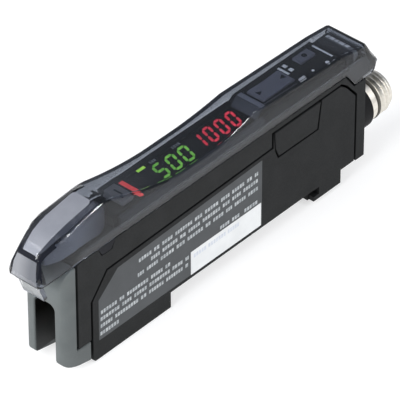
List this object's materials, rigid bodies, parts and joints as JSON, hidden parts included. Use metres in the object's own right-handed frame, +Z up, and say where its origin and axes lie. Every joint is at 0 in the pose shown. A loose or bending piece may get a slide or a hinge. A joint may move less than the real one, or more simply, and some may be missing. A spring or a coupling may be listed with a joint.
{
  "type": "fibre optic sensor amplifier",
  "caption": "Slim rail-mounted sensor amplifier with a smoked hinged dust cover over digital display and keys, a front head slot, a side label and a round threaded rear plug.",
  "frame": {"origin": "middle of the flat face that rests on the 35 mm mounting rail", "axes": "+X along the length towards the round plug, -Y the label side, +Z up away from the rail"},
  "size_m": [0.0869, 0.0098, 0.03],
  "materials": {
    "case": "fine texture",
    "side_shell": "fine texture",
    "port_block": "satin",
    "lever": "satin",
    "smoked_cover": "clear smoked",
    "pin_steel": "drawn",
    "label_film": "printed film",
    "label_white": "printed film",
    "panel_black": "satin",
    "print_white": "printed",
    "window_black": "polished",
    "segment_green": "lit",
    "segment_red": "lit",
    "bar_red": "lit",
    "key_grey": "satin",
    "key_dark": "satin",
    "knob_white": "satin",
    "rear_grey": "satin",
    "board_green": "lacquered",
    "inner_black": "moulded",
    "contact_gold": "plated",
    "plug_nickel": "nickel plated",
    "seal_rubber": "moulded",
    "spring_steel": "wire"
  },
  "bodies": {
    "case": {"main_housing": "case", "side_cover": "side_shell", "front_block": "port_block", "lock_lever": "lever", "cover_pin": "pin_steel", "label": "label_film", "label_field": "label_white", "expansion_cover": "side_shell", "expansion_socket": "inner_black", "expansion_contacts": "contact_gold", "top_panel": "panel_black", "panel_print": "print_white", "display_window": "window_black", "display_module": "inner_black", "digits_green": "segment_green", "digits_red": "segment_red", "power_bar": "bar_red", "stability_lamp": "segment_green", "rocker_pin": "pin_steel", "slide_switch": "inner_black", "tact_switches": "inner_black", "key_board": "board_green", "board_header": "inner_black", "main_board": "board_green", "board_parts": "inner_black", "head_socket": "inner_black", "head_contacts": "contact_gold", "rear_cap": "rear_grey", "plug_collar": "panel_black", "plug_shell": "plug_nickel", "plug_seal": "seal_rubber", "plug_insert": "inner_black", "plug_pins": "contact_gold", "claw_spring": "spring_steel"},
    "cover": {"dust_cover": "smoked_cover"},
    "set_key": {"set_button": "key_grey"},
    "rocker": {"rocker_key": "key_dark"},
    "mode_key": {"mode_button": "key_dark"},
    "knob": {"slide_knob": "knob_white"},
    "claw": {"rail_claw": "inner_black"}
  },
  "joints": [
    {"name": "cover_hinge", "type": "hinge", "parent": "case", "child": "cover", "pos_m": [0.0322, 0, 0.01775], "axis": [0, 1, 0], "range_deg": [0, 100]},
    {"name": "set_press", "type": "slide", "parent": "case", "child": "set_key", "axis": [0, 0, -1], "range_m": [0, 0.0003], "stiffness_N_per_m": 500, "springref_m": -0.0003},
    {"name": "rocker_tilt", "type": "hinge", "parent": "case", "child": "rocker", "pos_m": [0.0126, 0, 0.02125], "axis": [0, 1, 0], "range_deg": [-3.5, 3.5], "stiffness_Nm_per_rad": 0.02},
    {"name": "mode_press", "type": "slide", "parent": "case", "child": "mode_key", "axis": [0, 0, -1], "range_m": [0, 0.0003], "stiffness_N_per_m": 500, "springref_m": -0.0003},
    {"name": "knob_slide", "type": "slide", "parent": "case", "child": "knob", "axis": [1, 0, 0], "range_m": [0, 0.0011]},
    {"name": "claw_slide", "type": "slide", "parent": "case", "child": "claw", "axis": [-1, 0, 0], "range_m": [0, 0.0011], "stiffness_N_per_m": 800, "springref_m": -0.0005, "deforming": ["claw_spring"]}
  ]
}
